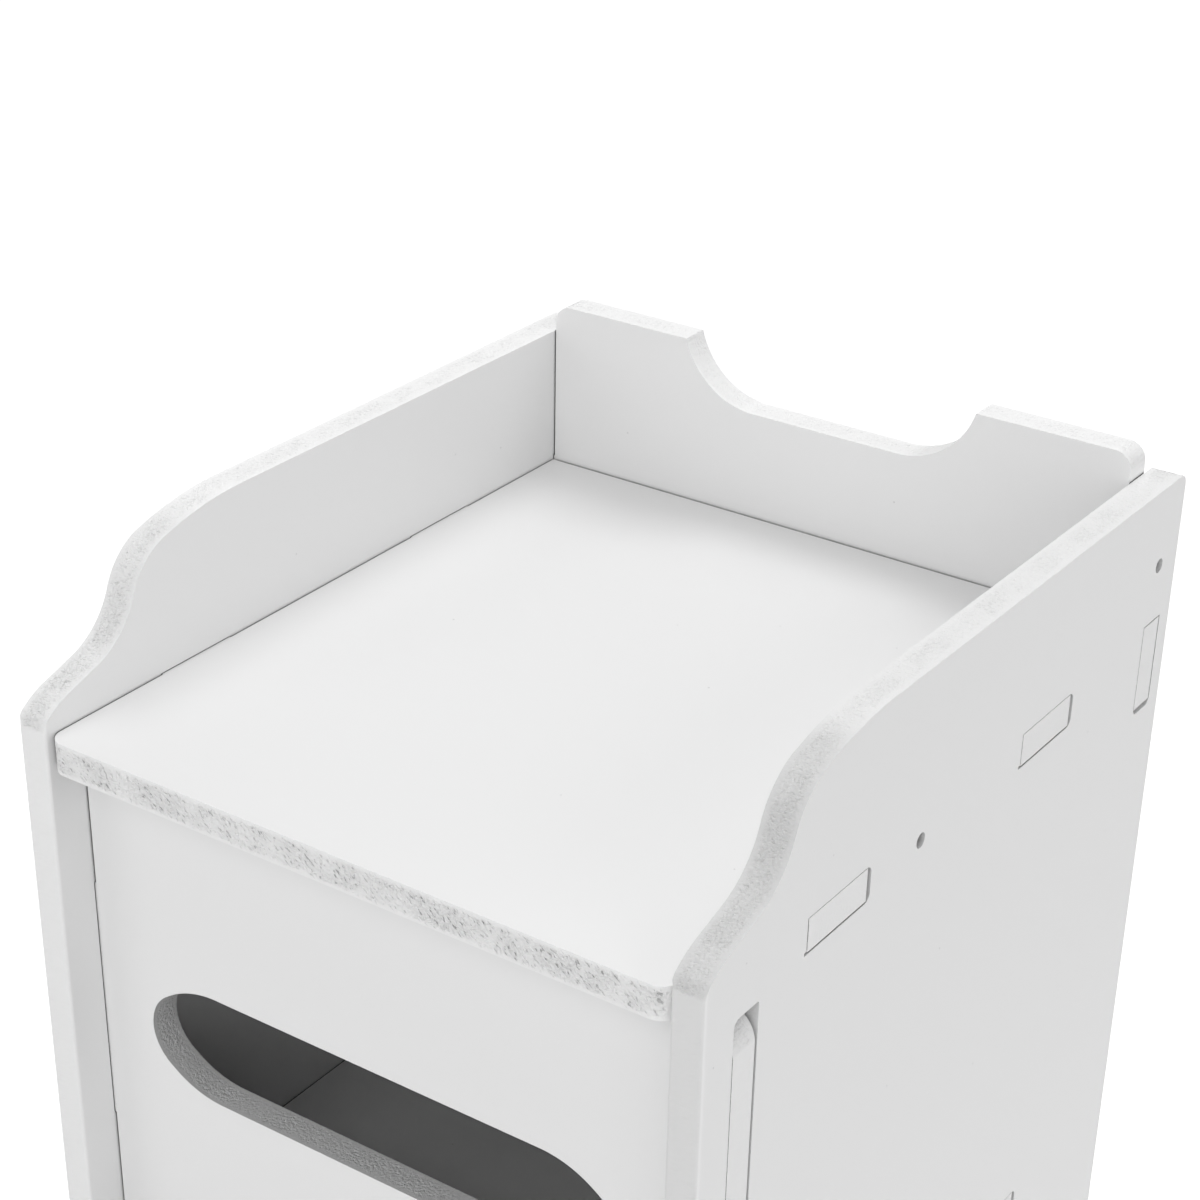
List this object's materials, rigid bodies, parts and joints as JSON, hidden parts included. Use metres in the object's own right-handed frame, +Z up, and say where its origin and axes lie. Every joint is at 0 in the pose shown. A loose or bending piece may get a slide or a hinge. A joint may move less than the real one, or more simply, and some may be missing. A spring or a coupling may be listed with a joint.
{
  "type": "bathroom cabinet",
  "caption": "Narrow white floor cabinet of slotted boards: curved top tray, roll bay with an oval slot and a slide-out front, open bay, and a hinged lower door.",
  "frame": {"origin": "on the floor, under the middle of the space that the cabinet and its knob take up", "axes": "+Z up, -Y is the front, with the tray's open end, the oval slot and the door; +X is the side that the dispenser panel slides out of"},
  "size_m": [0.18, 0.225, 0.71],
  "materials": {
    "side_board": "satin white foamed board, pitted on its routed edges",
    "front_board": "satin white foamed board, pitted on its routed edges",
    "shelf_board": "satin white foamed board, pitted on its routed edges",
    "pin_steel": "plain drawn steel",
    "bush_nylon": "natural nylon",
    "knob_plastic": "smooth white",
    "screw_steel": "zinc-plated",
    "catch_plastic": "moulded white",
    "magnet_block": "dull black ferrite",
    "plate_steel": "zinc-plated sheet",
    "pad_rubber": "soft foam rubber"
  },
  "bodies": {
    "cabinet": {"left_side_panel": "side_board", "right_side_panel": "side_board", "back_panel": "front_board", "toe_kick": "front_board", "top_shelf": "shelf_board", "bay_floor": "shelf_board", "middle_shelf": "shelf_board", "inner_shelf": "shelf_board", "bottom_shelf": "shelf_board", "upper_pivot_bush": "bush_nylon", "lower_pivot_bush": "bush_nylon", "catch_case": "catch_plastic", "catch_magnet": "magnet_block", "catch_pole_plates": "plate_steel", "catch_screws": "screw_steel", "front_left_foot_pad": "pad_rubber", "rear_left_foot_pad": "pad_rubber", "front_right_foot_pad": "pad_rubber", "rear_right_foot_pad": "pad_rubber"},
    "dispenser": {"dispenser_panel": "front_board"},
    "door_leaf": {"door": "front_board", "upper_pivot_pin": "pin_steel", "lower_pivot_pin": "pin_steel", "door_knob": "knob_plastic", "knob_screw": "screw_steel", "strike_plate": "plate_steel", "strike_screw": "screw_steel"}
  },
  "joints": [
    {"name": "dispenser_slide", "type": "slide", "parent": "cabinet", "child": "dispenser", "axis": [1, 0, 0], "range_m": [0, 0.19]},
    {"name": "door_hinge", "type": "hinge", "parent": "cabinet", "child": "door_leaf", "pos_m": [-0.0772, -0.0865, 0.1977], "axis": [0, 0, -1], "range_deg": [0, 95]}
  ]
}
